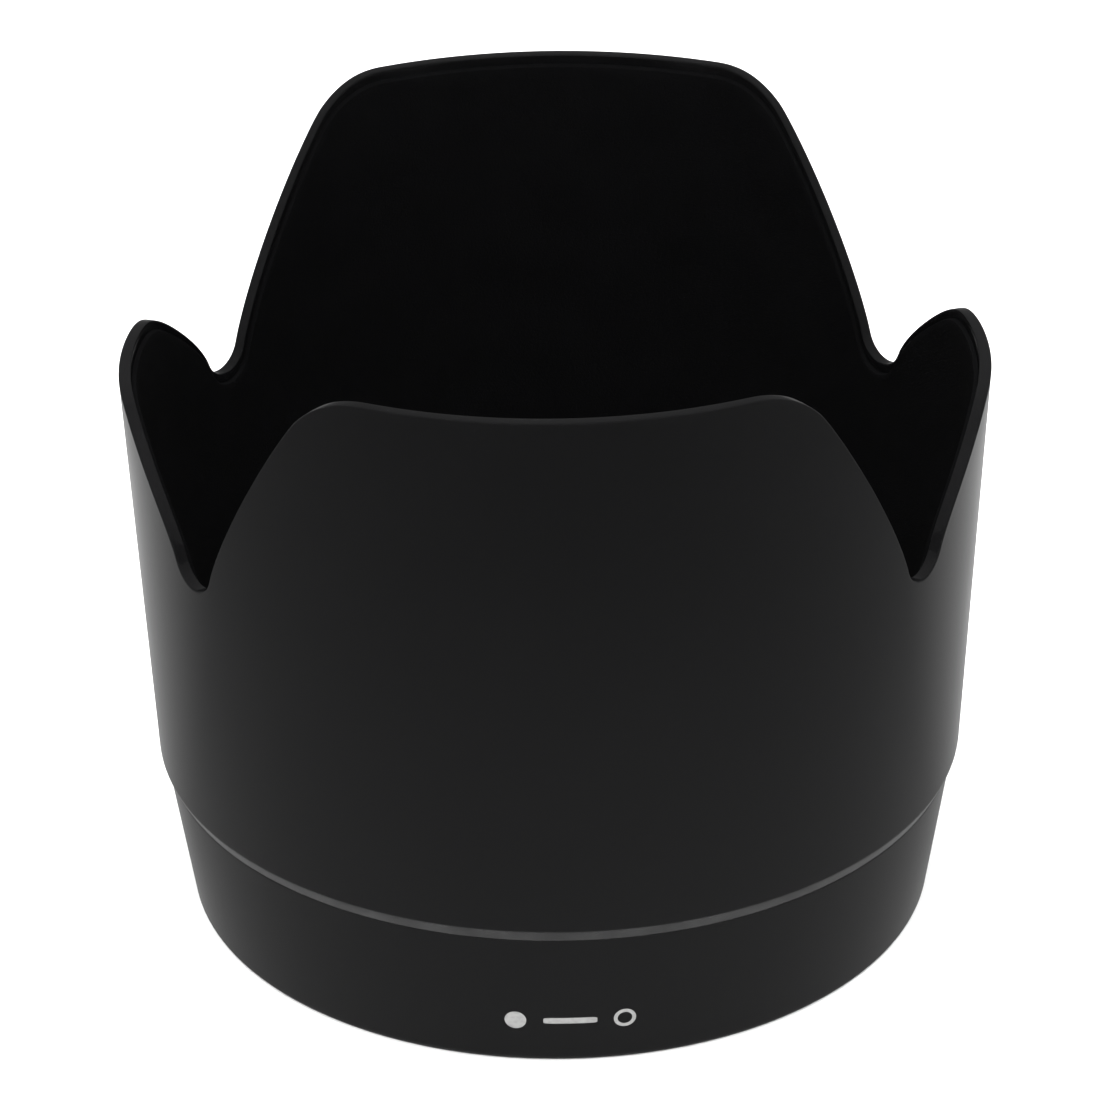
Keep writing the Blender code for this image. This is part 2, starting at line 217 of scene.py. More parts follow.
def moulded_plastic(name, colour, gloss, grain, rub, ior=1.5):
    """Black plastic from a spark-eroded mould.

    A fine grain about a tenth of a millimetre across is the bump, a slow cloud moves both the
    gloss and the colour a little, and edges marked as worn are rubbed lighter and smoother.
    The same lightening also lays a painted sheen on rows marked for it, as on the barrel's chamfer.
    """
    finish, tree, shader = new_finish(name)
    shader.inputs["IOR"].default_value = ior
    place = shader_node(tree, "TexCoord").outputs["Object"]
    cloud = noise(tree, place, 34.0)
    fingers = noise(tree, place, 210.0, 2.0)
    pebble = noise(tree, place, 8000.0, 2.0, 0.6)
    swell = noise(tree, place, 1500.0, 2.0)
    wear = shader_node(tree, "Attribute", attribute_name="wear").outputs["Fac"]
    patchy = shader_node(tree, "Math", operation="MULTIPLY")
    tree.links.new(wear, patchy.inputs[0])
    tree.links.new(span(tree, fingers, 0.35, 0.65, 0.6, 1.0), patchy.inputs[1])
    tone = blend_colours(tree, cloud, [c * 0.8 for c in colour], [c * 1.2 for c in colour])
    # Rubbed colour: worn edges lighter, and on the barrel's seam chamfer a painted sheen.
    rubbed = shader_node(tree, "Mix", data_type="RGBA")
    rubbed.inputs["B"].default_value = (*[c + rub for c in colour], 1.0)
    tree.links.new(tone, rubbed.inputs["A"])
    tree.links.new(patchy.outputs["Value"], rubbed.inputs["Factor"])
    tree.links.new(rubbed.outputs["Result"], shader.inputs["Base Color"])
    base_gloss = span(tree, cloud, 0.3, 0.7, gloss - 0.025, gloss + 0.025)
    smoother = shader_node(tree, "Math", operation="MULTIPLY_ADD")
    smoother.inputs[1].default_value = -0.06
    tree.links.new(patchy.outputs["Value"], smoother.inputs[0])
    tree.links.new(base_gloss, smoother.inputs[2])
    tree.links.new(smoother.outputs["Value"], shader.inputs["Roughness"])
    relief = shader_node(tree, "Mix", {"Factor": 0.2}, data_type="FLOAT")
    tree.links.new(pebble, relief.inputs["A"])
    tree.links.new(swell, relief.inputs["B"])
    bump = shader_node(tree, "Bump", {"Strength": grain, "Distance": 0.006 * MM})
    tree.links.new(relief.outputs["Result"], bump.inputs["Height"])
    tree.links.new(bump.outputs["Normal"], shader.inputs["Normal"])
    return finish


def fit_piece(name, mesh, finish, body, slot, *stands_for):
    """Put a finished mesh on the object: its finish, its body and its CAD nodes; its slot is not used.
    """
    mesh.shade_smooth()
    mesh.set_sharp_from_angle(angle=math.radians(38))
    mesh.materials.clear()
    mesh.materials.append(finish)
    piece = bpy.data.objects.new(name, mesh)
    bpy.context.scene.collection.objects.link(piece)
    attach(piece, body)
    if stands_for:
        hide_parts(*stands_for)
    return piece


def collar_radius(z):
    """Outer radius of the collar at a height: a straight taper from foot to top."""
    return COLLAR_FOOT_RADIUS + COLLAR_SLOPE * z


def collar_profile():
    """Rows from the seat over the top edge, down the outside, round the foot and up inside."""
    top_edge, foot_edge, inner_edge = 0.04 * MM, 0.45 * MM, 0.3 * MM
    inner = collar_radius(0) - COLLAR_WALL
    rows = [(COLLAR_SEAT + 0.2 * MM, COLLAR_TOP), (COLLAR_TOP_RADIUS - 0.5 * MM, COLLAR_TOP)]
    for across, up in rounded(top_edge, 85, 8, 4):
        z = COLLAR_TOP - top_edge
        rows.append((collar_radius(z) - top_edge + across, z + up))
    for z in (17.7, 17.4, 16.5, 15.0, 12.5, 10.0, 7.5, 5.0, 3.0, 1.8, 1.2, 0.8, 0.6):
        rows.append((collar_radius(z * MM), z * MM))
    for across, up in rounded(foot_edge, -6, -90, 8):
        rows.append((collar_radius(foot_edge) - foot_edge + across, foot_edge + up))
    rows.append((inner + inner_edge + 0.05 * MM, 0.0))
    for across, up in rounded(inner_edge, -90, 0, 5):
        rows.append((inner + inner_edge - across, inner_edge + up))
    for z in (0.6, 1.5, 4.0, 8.0, 11.0, 12.6, 13.0):
        rows.append((inner + COLLAR_SLOPE * z * MM, z * MM))
    rows.append((inner + COLLAR_SLOPE * 13.0 * MM - 1.0 * MM, COLLAR_SHOULDER))
    rows.append((COLLAR_SEAT + 0.3 * MM, COLLAR_SHOULDER))
    rows.append((COLLAR_SEAT, COLLAR_SHOULDER + 0.3 * MM))
    rows.append((COLLAR_SEAT, COLLAR_TOP - 0.2 * MM))
    return rows


def collar_wear():
    """Wear along the collar's rows: full on the foot's round edge, a trace on the top edge."""
    rows = collar_profile()
    return np.array([[1.0 if z < 0.5 * MM else 0.35 * (z > 17.8 * MM)] for _, z in rows])


collar_cuts = [(hole_outline(a), 13.0 * MM, 19.0 * MM) for a in SCREW_ANGLES]
collar_cuts += [
    (sector_outline(42.0 * MM, COLLAR_SLOT_RADIUS, a, COLLAR_SLOT_HALF), 13.1 * MM, 19.0 * MM)
    for a in (0, 180)
]
collar_plastic = moulded_plastic("collar_plastic", (0.0036, 0.0036, 0.0038), 0.18, 0.35, 0.012, 1.43)
collar_rows = turned(collar_profile(), evenly(480))
collar_mesh = grid_mesh("collar_shell", collar_rows, wrap_along=True, wear=collar_wear())
collar_mesh = cut_through(collar_mesh, collar_cuts)
fit_piece("collar_shell", collar_mesh, collar_plastic, "hood", "collar_plastic", "mount_collar")


# ---------------------------------------------------------------------------------------------
# Bayonet ring: a hard black moulding that drops into the collar.  Its flange is clamped by the
# screws, three lugs on its skirt hook behind the lens, and two pockets hold the click springs.

RING_FLANGE_RADIUS = 46.3 * MM
RING_FLANGE_LOW = 18.08 * MM
RING_FLANGE_HIGH = 20.4 * MM
RING_BORE = 41.9 * MM
RING_SKIRT = 43.1 * MM
RING_SKIRT_FOOT = 8.7 * MM
LUG_RADIUS = 40.4 * MM
LUG_LOW = 8.9 * MM
LUG_HIGH = 10.7 * MM
LUG_ANGLES = (90, 210, 330)
LUG_HALF = 17.0
POCKET_RADIUS = 44.5 * MM
POCKET_HALF = 14.5
POCKET_END = 13.2
POCKET_FLOOR = 9.4 * MM
POCKET_TOP = 12.9 * MM
WINDOW_HALF = 3.3 * MM
WINDOW_LOW = 9.55 * MM
WINDOW_HIGH = 13.0 * MM


def ring_angles():
    """Columns every degree, with close ones added at each end of a lug and of a pocket."""
    marks = [a + side * LUG_HALF for a in LUG_ANGLES for side in (-1, 1)]
    marks += [a + side * e for a in (0, 180) for side in (-1, 1) for e in (POCKET_END, POCKET_HALF)]
    close = [m + d for m in marks for d in (-0.8, -0.4, -0.2, -0.1, 0.0, 0.1, 0.2, 0.4, 0.8)]
    every = np.concatenate([np.arange(0, 360, 1.0), np.array(close) % 360])
    return np.radians(np.unique(np.round(every, 4)))


def off_middle(angles, middles):
    """Degrees from each angle to the nearest of the middles."""
    turn = np.degrees(angles)[:, None] - np.array(middles, dtype=float)[None, :]
    return np.abs((turn + 180) % 360 - 180).min(axis=1)


def ramp(value, start, stop):
    """Nought before start, one after stop, and a straight climb between."""
    return np.clip((value - start) / (stop - start), 0, 1)


def ring_surface(angles):
    """Closed section of the ring at every angle.

    The skirt's outside is pushed out to the pocket radius over each pocket's floor and ends,
    and its inside is pulled in to the lug radius over each lug, by steep ramps of the angle.
    """
    pocket = off_middle(angles, (0, 180))
    on_floor = 1 - ramp(pocket, POCKET_HALF - 0.05, POCKET_HALF + 0.05)
    on_end = on_floor * ramp(pocket, POCKET_END - 0.05, POCKET_END + 0.05)
    lug = 1 - ramp(off_middle(angles, LUG_ANGLES), LUG_HALF - 0.3, LUG_HALF)
    flange_edge, bore_edge = 0.25 * MM, 0.3 * MM
    rows = []

    def row(radius, height):
        rows.append((radius + 0 * angles, height + 0 * angles))

    for across, up in rounded(flange_edge, 90, 0, 5):
        row(RING_FLANGE_RADIUS - flange_edge + across, RING_FLANGE_HIGH - flange_edge + up)
    row(RING_FLANGE_RADIUS, RING_FLANGE_LOW + 0.15 * MM)
    row(RING_FLANGE_RADIUS - 0.15 * MM, RING_FLANGE_LOW)
    row(RING_SKIRT + 0.3 * MM, RING_FLANGE_LOW)
    row(RING_SKIRT, RING_FLANGE_LOW - 0.3 * MM)
    for z in (16.0, 14.0, 13.2):
        row(RING_SKIRT, z * MM)
    proud = POCKET_RADIUS - RING_SKIRT
    row(RING_SKIRT, POCKET_TOP + 0.01 * MM)
    row(RING_SKIRT + proud * on_end, POCKET_TOP)
    row(RING_SKIRT + proud * on_end, 12.0 * MM)
    row(RING_SKIRT + proud * on_end, POCKET_FLOOR + 0.2 * MM)
    row(RING_SKIRT + proud * on_end, POCKET_FLOOR + 0.01 * MM)
    row(RING_SKIRT + proud * on_floor, POCKET_FLOOR)
    row(RING_SKIRT + proud * on_floor, RING_SKIRT_FOOT + 0.1 * MM)
    row(RING_SKIRT + (proud - 0.1 * MM) * on_floor - 0.05 * MM, RING_SKIRT_FOOT)
    row(RING_BORE + 0.2 * MM, RING_SKIRT_FOOT)
    row(RING_BORE + 0.02 * MM, RING_SKIRT_FOOT + 0.1 * MM)
    depth = RING_BORE - LUG_RADIUS
    row(RING_BORE, LUG_LOW - 0.02 * MM)
    for share, z in ((0.8, 0.0), (0.95, 0.06), (1.0, 0.2)):
        row(RING_BORE - depth * share * lug, LUG_LOW + z * MM)
    for share, z in ((1.0, 0.2), (0.95, 0.06), (0.8, 0.0)):
        row(RING_BORE - depth * share * lug, LUG_HIGH - z * MM)
    row(RING_BORE, LUG_HIGH + 0.02 * MM)
    for z in (11.2, 13.5, 16.5, 19.5):
        row(RING_BORE, z * MM)
    for across, up in rounded(bore_edge, 0, 90, 5):
        row(RING_BORE + bore_edge - across, RING_FLANGE_HIGH - bore_edge + up)
    row(RING_BORE + 1.2 * MM, RING_FLANGE_HIGH)
    radius = np.array([r for r, _ in rows])
    height = np.array([z for _, z in rows])
    rub = ramp(radius, LUG_RADIUS + 0.7 * MM, LUG_RADIUS + 0.1 * MM)
    return np.stack([radius * np.cos(angles), radius * np.sin(angles), height], axis=-1), rub


window_x = np.array([-1, 1, 1, -1]) * 1.9 * MM
window_y = np.array([-1, -1, 1, 1]) * WINDOW_HALF
ring_cuts = [(hole_outline(a), 17.0 * MM, 21.0 * MM) for a in SCREW_ANGLES]
ring_cuts += [
    (np.column_stack([window_x + side * 42.7 * MM, window_y]), WINDOW_LOW, WINDOW_HIGH)
    for side in (-1, 1)
]
ring_plastic = moulded_plastic("ring_plastic", (0.0045, 0.0045, 0.0047), 0.27, 0.5, 0.02)
ring_points, ring_rub = ring_surface(ring_angles())
ring_mesh = grid_mesh("bayonet_shell", ring_points, wrap_along=True, wear=ring_rub)
ring_mesh = cut_through(ring_mesh, ring_cuts)
fit_piece("bayonet_shell", ring_mesh, ring_plastic, "hood", "ring_plastic", "bayonet_ring")


# ---------------------------------------------------------------------------------------------
# Click springs: two strips of spring steel, each bent to a round nose that looks in through a
# window of the skirt.  The lens pushes the nose out until it falls into a notch.

SPRING_RADIUS = 43.7 * MM
SPRING_THICK = 0.3 * MM
SPRING_LOW = 9.8 * MM
SPRING_HIGH = 12.6 * MM
SPRING_HALF = 11.5
NOSE_HALF = 3.9
NOSE_DEPTH = 2.35 * MM


def spring_surface(middle):
    """A strip swept along its bent centre line.

    The centre line's radius falls by half the nose depth times one plus a cosine within the
    nose.  The strip's section, a rectangle with round corners, stands across it, and shrinks
    to its own middle line at both ends.
    """
    swing = np.linspace(-SPRING_HALF, SPRING_HALF, 181)
    inside = np.abs(swing) < NOSE_HALF
    dip = np.where(inside, 0.5 * NOSE_DEPTH * (1 + np.cos(np.pi * swing / NOSE_HALF)), 0)
    angle = np.radians(swing + middle)
    line = (SPRING_RADIUS - dip)[:, None] * np.stack([np.cos(angle), np.sin(angle)], axis=-1)
    tangent = np.gradient(line, axis=0)
    tangent /= np.linalg.norm(tangent, axis=1)[:, None]
    across = np.stack([tangent[:, 1], -tangent[:, 0]], axis=-1)
    corner = 0.09 * MM
    half_thick = SPRING_THICK / 2 - corner
    half_high = (SPRING_HIGH - SPRING_LOW) / 2 - corner
    u, v = [], []
    for side_u, side_v, start in ((1, 1, 0), (-1, 1, 90), (-1, -1, 180), (1, -1, 270)):
        for step_u, step_v in rounded(corner, start, start + 90, 5):
            u.append(side_u * half_thick + step_u)
            v.append(side_v * half_high + step_v)
    u, v = np.array(u), np.array(v)
    rows, sections = [line[0]], [0.0]
    rows += [line[0], *line[1:-1], line[-1], line[-1]]
    sections += [0.8, *np.ones(len(line) - 2), 0.8, 0.0]
    steps = [0, 0, *range(1, len(line) - 1), len(line) - 1, len(line) - 1]
    thick = np.array(sections)[:, None] * u[None, :]
    plan = np.array(rows)[:, None, :] + across[steps][:, None, :] * thick[:, :, None]
    middle_z = (SPRING_LOW + SPRING_HIGH) / 2
    height = middle_z + np.where(np.array(sections)[:, None] > 0, v, v * 0.999) + 0 * thick
    rub = np.concatenate([[0, 0], (dip / NOSE_DEPTH)[1:-1] ** 4, [0, 0]])[:, None]
    return np.concatenate([plan, height[:, :, None]], axis=-1), rub


def rolled_steel():
    """Cold-rolled spring steel: fine lines along the strip, and a nose burnished by use."""
    finish, tree, shader = new_finish("spring_steel")
    shader.inputs["Metallic"].default_value = 1.0
    place = shader_node(tree, "TexCoord").outputs["Object"]
    stretch = shader_node(tree, "Mapping")
    stretch.inputs["Scale"].default_value = (120.0, 120.0, 9000.0)
    tree.links.new(place, stretch.inputs["Vector"])
    lines = noise(tree, stretch.outputs["Vector"], 1.0, 3.0)
    stain = noise(tree, place, 420.0)
    wear = shader_node(tree, "Attribute", attribute_name="wear").outputs["Fac"]
    rolled = blend_colours(tree, stain, (0.30, 0.29, 0.275), (0.47, 0.46, 0.44))
    bright = shader_node(tree, "Mix", data_type="RGBA")
    bright.inputs["B"].default_value = (0.62, 0.61, 0.59, 1.0)
    tree.links.new(rolled, bright.inputs["A"])
    tree.links.new(wear, bright.inputs["Factor"])
    tree.links.new(bright.outputs["Result"], shader.inputs["Base Color"])
    tree.links.new(span(tree, lines, 0.3, 0.7, 0.24, 0.42), shader.inputs["Roughness"])
    bump = shader_node(tree, "Bump", {"Strength": 0.25, "Distance": 0.006 * MM})
    tree.links.new(lines, bump.inputs["Height"])
    tree.links.new(bump.outputs["Normal"], shader.inputs["Normal"])
    return finish


spring_steel = rolled_steel()
for side, middle in (("left", 180), ("right", 0)):
    strip, strip_rub = spring_surface(middle)
    strip_mesh = grid_mesh("click_strip_" + side, strip, wear=strip_rub)
    spring_node = "click_spring_" + side
    fit_piece(strip_mesh.name, strip_mesh, spring_steel, side + "_spring", "spring_steel", spring_node)


# ---------------------------------------------------------------------------------------------
# Barrel: one black moulding with two tall and two low petals, drafted so that it widens to the
# front.  Its foot is chamfered above the seam, and an inner flange takes the screw heads.

BARREL_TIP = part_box("petal_barrel")[1].z
BARREL_TIP_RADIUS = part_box("petal_barrel")[1].y
SEAM_RADIUS = 48.45 * MM
SEAM_Z = 19.6 * MM
BARREL_FOOT_RADIUS = 47.71 * MM
BARREL_FOOT = 18.01 * MM
BARREL_WALL = 1.43 * MM
FLANGE_BORE = 42.6 * MM
FLANGE_LOW = 20.45 * MM
FLANGE_HIGH = 22.8 * MM
COUNTERBORE = 46.6 * MM
UNROLL = 50.0 * MM


def bezier(start, start_pull, end_pull, end, count):
    """Cubic curve from start to end with a pull on each, its weights the Bernstein terms in t."""
    t = np.linspace(0, 1, count, endpoint=False)[:, None]
    a, d = np.array(start), np.array(end)
    b, c = a + np.array(start_pull), d + np.array(end_pull)
    return (1 - t) ** 3 * a + 3 * (1 - t) ** 2 * t * b + 3 * (1 - t) * t ** 2 * c + t ** 3 * d


def heading(degrees, length):
    """A step of that length along a heading on the unrolled wall."""
    return (length * math.cos(math.radians(degrees)), length * math.sin(math.radians(degrees)))


def petal_rim():
    """Angle round Z and height of the rim all the way round.

    A quarter is drawn on the unrolled wall, then mirrored in both planes: the tall petal's flat
    top, its shoulder, its long flank, the round valley, and the low petal's flank and crown.
    """
    flat_end = (math.radians(23.97) * UNROLL, BARREL_TIP)
    shoulder = (math.radians(33.4) * UNROLL, 81.71 * MM)
    shoulder_fall = 45.64
    valley = (math.radians(55.63) * UNROLL, 53.37 * MM)
    valley_radius, valley_flank = 3.86 * MM, 68.99
    low_shoulder = (math.radians(72.44) * UNROLL, 66.38 * MM)
    low_shoulder_rise = 29.43
    low_middle = (math.pi / 2 * UNROLL, 68.62 * MM)
    swing = np.radians(np.linspace(-valley_flank, valley_flank, 22))
    arc_x = valley[0] + valley_radius * np.sin(swing)
    arc_z = valley[1] + valley_radius * (1 - np.cos(swing))
    arc = np.stack([arc_x, arc_z], axis=-1)
    flat = np.column_stack([np.linspace(0, flat_end[0], 23)[:-1], np.full(22, BARREL_TIP)])
    crown_pull = heading(180 - shoulder_fall, 3.99 * MM)
    crown = bezier(flat_end, (2.75 * MM, 0), crown_pull, shoulder, 26)
    flank_push = heading(-shoulder_fall, 2.74 * MM)
    flank_pull = heading(180 - valley_flank, 6.43 * MM)
    flank = bezier(shoulder, flank_push, flank_pull, arc[0], 26)
    rise_push = heading(valley_flank, 3.8 * MM)
    rise_pull = heading(low_shoulder_rise + 180, 3.8 * MM)
    rise = bezier(arc[-1], rise_push, rise_pull, low_shoulder, 18)
    low_push = heading(low_shoulder_rise, 4.26 * MM)
    low_crown = bezier(low_shoulder, low_push, (-10.61 * MM, 0), low_middle, 30)
    quarter = np.concatenate([flat, crown, flank, arc[:-1], rise, low_crown, [low_middle]])
    angle, height = quarter[:, 0] / UNROLL, quarter[:, 1]
    half_angle = np.concatenate([angle, math.pi - angle[-2::-1]])
    half_height = np.concatenate([height, height[-2::-1]])
    full_angle = np.concatenate([half_angle, math.tau - half_angle[-2:0:-1]])
    full_height = np.concatenate([half_height, half_height[-2:0:-1]])
    return full_angle - math.pi / 2, full_height


RIM_ANGLE, RIM_Z = petal_rim()


def wall_radius(z):
    """Outer radius at a height: a straight taper from the seam to the petal tips."""
    return SEAM_RADIUS + (BARREL_TIP_RADIUS - SEAM_RADIUS) * (z - SEAM_Z) / (BARREL_TIP - SEAM_Z)


def along_rim(section):
    """A section stood at every rim point: each row's radius and height may follow the rim."""
    radius = np.array([r + 0 * RIM_Z for r, _ in section])
    height = np.array([z + 0 * RIM_Z for _, z in section])
    return np.stack([radius * np.cos(RIM_ANGLE), radius * np.sin(RIM_ANGLE), height], axis=-1)


def barrel_section(rim):
    """Rows from the rim's outer edge down the outside, in under the foot, over the flange, up
    the inside and back over the rim."""
    outer_edge, inner_edge, lip, fillet = 0.22 * MM, 0.2 * MM, 0.35 * MM, 0.9 * MM
    rows = []
    for across, up in rounded(outer_edge, 90, 0, 7):
        rows.append((wall_radius(rim) - outer_edge + across, rim - outer_edge + up))
    for drop in (0.25, 0.6, 1.2, 2.5, 5.0, 9.0, 15.0, 23.0):
        z = rim - outer_edge - drop * MM
        rows.append((wall_radius(z), z))
    for z in (29.0, 26.0, 23.5, 21.6, 20.6, 20.1, 19.8):
        rows.append((wall_radius(z * MM), z * MM))
    rows.append((SEAM_RADIUS - 0.004 * MM, SEAM_Z + 0.06 * MM))
    rows.append((SEAM_RADIUS - 0.035 * MM, SEAM_Z - 0.05 * MM))
    for share in (0.1, 0.3, 0.6, 0.9):
        chamfer = SEAM_RADIUS + (BARREL_FOOT_RADIUS - SEAM_RADIUS) * share
        rows.append((chamfer, SEAM_Z + (BARREL_FOOT - SEAM_Z) * share))
    rows.append((BARREL_FOOT_RADIUS + 0.02 * MM, BARREL_FOOT + 0.05 * MM))
    rows.append((BARREL_FOOT_RADIUS - 0.05 * MM, BARREL_FOOT))
    rows.append((COUNTERBORE + 0.1 * MM, BARREL_FOOT))
    rows.append((COUNTERBORE, BARREL_FOOT + 0.1 * MM))
    rows.append((COUNTERBORE, FLANGE_LOW - 0.05 * MM))
    rows.append((COUNTERBORE - 0.05 * MM, FLANGE_LOW))
    rows.append((FLANGE_BORE + 0.3 * MM, FLANGE_LOW))
    rows.append((FLANGE_BORE, FLANGE_LOW + 0.3 * MM))
    for across, up in rounded(lip, 0, 90, 6):
        rows.append((FLANGE_BORE + lip - across, FLANGE_HIGH - lip + up))
    fillet_centre = wall_radius(FLANGE_HIGH + fillet) - BARREL_WALL - fillet
    rows.append((fillet_centre - 0.5 * MM, FLANGE_HIGH))
    for across, up in rounded(fillet, -90, 0, 9):
        rows.append((fillet_centre + across, FLANGE_HIGH + fillet + up))
    for z in (23.9, 24.3, 25.5, 29.0, 35.0, 42.0, 48.0):
        rows.append((wall_radius(z * MM) - BARREL_WALL, z * MM))
    for drop in (2.0, 1.0, 0.5, 0.2):
        z = rim - inner_edge - drop * MM
        rows.append((wall_radius(z) - BARREL_WALL, z))
    for across, up in rounded(inner_edge, 0, 90, 6):
        inner_face = wall_radius(rim) - BARREL_WALL
        rows.append((inner_face + inner_edge - across, rim - inner_edge + up))
    return rows


barrel_rows = barrel_section(RIM_Z)
barrel_height = np.array([z + 0 * RIM_Z for _, z in barrel_rows])
# The rim's edges are rubbed a trace. The chamfer over the seam is painted as the lightest band, a
# painted sheen that stands in for the brighter reflection it catches.
rim_wear = 0.06 * ramp(RIM_Z - barrel_height, 0.45 * MM, 0.02 * MM)
chamfer_painted_sheen = ramp(barrel_height, SEAM_Z + 0.08 * MM, SEAM_Z - 0.02 * MM)
chamfer_painted_sheen[len(barrel_rows) // 2:] = 0
barrel_wear_and_painted_sheen = np.maximum(rim_wear, chamfer_painted_sheen)
# The barrel's rub lightens both its rubbed rim and the painted sheen on the seam chamfer.
barrel_plastic = moulded_plastic("barrel_plastic", (0.0031, 0.0031, 0.0033), 0.16, 0.35, 0.027)
barrel_mesh = grid_mesh("petal_shell", along_rim(barrel_rows), wrap_along=True, wear=barrel_wear_and_painted_sheen)
barrel_cuts = [(hole_outline(a), 19.0 * MM, 24.0 * MM) for a in SCREW_ANGLES]
barrel_mesh = cut_through(barrel_mesh, barrel_cuts)
fit_piece("petal_shell", barrel_mesh, barrel_plastic, "hood", "barrel_plastic", "petal_barrel")


# ---------------------------------------------------------------------------------------------
# Screws: four black-plated cross-head screws down through the barrel's flange and the ring's
# flange into the collar's shoulder, which clamp the three mouldings together.

HEAD_RADIUS = 1.5 * MM
HEAD_SEAT = 22.84 * MM
HEAD_CROWN = 24.2 * MM
THREAD_CREST = 0.94 * MM
THREAD_ROOT = 0.74 * MM
THREAD_PITCH = 0.5 * MM
SCREW_TIP = 14.8 * MM
RECESS_HALF = 0.2 * MM
RECESS_REACH = 0.86 * MM
RECESS_DEPTH = 0.62 * MM


def screw_surface(degrees):
    """A screw on its own axis, row by row from the tip's pole to the crown's pole.

    The shank's radius swings between root and crest with the height in pitches less the turn,
    which winds the thread, and fades to the root at both ends.  The head is a shallow dome
    less a cross recess, whose arms are steep ramps either side of two lines.
    """
    turn = evenly(144)
    radius, height = [], []
    radius.append(0 * turn)
    height.append(SCREW_TIP + 0 * turn)
    for z in np.linspace(SCREW_TIP, HEAD_SEAT - 0.02 * MM, 150):
        phase = z / THREAD_PITCH - turn / math.tau
        tooth = 1 - np.abs(2 * (phase % 1) - 1)
        fade = ramp(z, SCREW_TIP, SCREW_TIP + 0.6 * MM) * ramp(z, HEAD_SEAT, HEAD_SEAT - 0.7 * MM)
        radius.append(THREAD_ROOT * (0.8 + 0.2 * ramp(z, SCREW_TIP, SCREW_TIP + 0.4 * MM))
                      + (THREAD_CREST - THREAD_ROOT) * tooth * fade)
        height.append(z + 0 * turn)
    radius.append(HEAD_RADIUS - 0.1 * MM + 0 * turn)
    height.append(HEAD_SEAT + 0 * turn)
    rim_z = HEAD_SEAT + 0.75 * MM
    for across, up in rounded(0.1 * MM, -90, 0, 4):
        radius.append(HEAD_RADIUS - 0.1 * MM + across + 0 * turn)
        height.append(HEAD_SEAT + 0.1 * MM + up + 0 * turn)
    dome_rise = HEAD_CROWN - rim_z
    for share in np.concatenate([np.linspace(1.0, 0.62, 12), np.linspace(0.6, 0.0, 36)]):
        r = HEAD_RADIUS * share
        dome = rim_z + dome_rise * math.sqrt(max(0.0, 1 - share ** 2.6))
        x, y = r * np.cos(turn), r * np.sin(turn)
        arm_x = ramp(np.abs(y), RECESS_HALF + 0.05 * MM, RECESS_HALF)
        arm_y = ramp(np.abs(x), RECESS_HALF + 0.05 * MM, RECESS_HALF)
        arm_x = arm_x * ramp(np.abs(x), RECESS_REACH + 0.06 * MM, RECESS_REACH - 0.12 * MM)
        arm_y = arm_y * ramp(np.abs(y), RECESS_REACH + 0.06 * MM, RECESS_REACH - 0.12 * MM)
        radius.append(r + 0 * turn)
        height.append(dome - RECESS_DEPTH * np.maximum(arm_x, arm_y))
    radius, height = np.array(radius), np.array(height)
    spun = turn + math.radians(degrees * 1.7)
    middle_x = SCREW_CIRCLE * math.cos(math.radians(degrees))
    middle_y = SCREW_CIRCLE * math.sin(math.radians(degrees))
    across, along = middle_x + radius * np.cos(spun), middle_y + radius * np.sin(spun)
    slope = np.abs(np.gradient(height, axis=0)) / (0.02 * MM)
    rub = np.where(height > rim_z, ramp(slope, 1.5, 6.0), 0.0)
    return np.stack([across, along, height], axis=-1), rub


def black_plated_steel():
    """Steel with a thin black plating, worn through to bright metal at the recess's edges."""
    finish, tree, shader = new_finish("screw_steel")
    shader.inputs["Metallic"].default_value = 1.0
    place = shader_node(tree, "TexCoord").outputs["Object"]
    scratch = noise(tree, place, 3800.0, 3.0, 0.65)
    cloud = noise(tree, place, 700.0)
    wear = shader_node(tree, "Attribute", attribute_name="wear").outputs["Fac"]
    worn = shader_node(tree, "Math", operation="MULTIPLY")
    tree.links.new(wear, worn.inputs[0])
    tree.links.new(span(tree, scratch, 0.42, 0.6, 0.1, 0.9), worn.inputs[1])
    plating = blend_colours(tree, cloud, (0.035, 0.035, 0.037), (0.075, 0.074, 0.075))
    colour = shader_node(tree, "Mix", data_type="RGBA")
    colour.inputs["B"].default_value = (0.42, 0.41, 0.40, 1.0)
    tree.links.new(plating, colour.inputs["A"])
    tree.links.new(worn.outputs["Value"], colour.inputs["Factor"])
    tree.links.new(colour.outputs["Result"], shader.inputs["Base Color"])
    tree.links.new(span(tree, scratch, 0.3, 0.7, 0.26, 0.44), shader.inputs["Roughness"])
    bump = shader_node(tree, "Bump", {"Strength": 0.3, "Distance": 0.008 * MM})
    tree.links.new(scratch, bump.inputs["Height"])
    tree.links.new(bump.outputs["Normal"], shader.inputs["Normal"])
    return finish


screw_steel = black_plated_steel()
for number, degrees in enumerate(SCREW_ANGLES, start=1):
    screw_points, screw_rub = screw_surface(degrees)
    screw_mesh = grid_mesh(f"flange_screw_{number}", screw_points, wear=screw_rub)
    fit_piece(screw_mesh.name, screw_mesh, screw_steel, "hood", "screw_steel", f"screw_{number}")


# ---------------------------------------------------------------------------------------------
# Flock lining: short black fibres shot on to glue all over the inside of the barrel, from just
# above the flange to just under the rim.  It swallows nearly all the light that reaches it.

FLOCK_FOOT = 24.5 * MM
FLOCK_SETBACK = 1.2 * MM
FLOCK_BACK = 0.02 * MM
FLOCK_FACE = 0.6 * MM


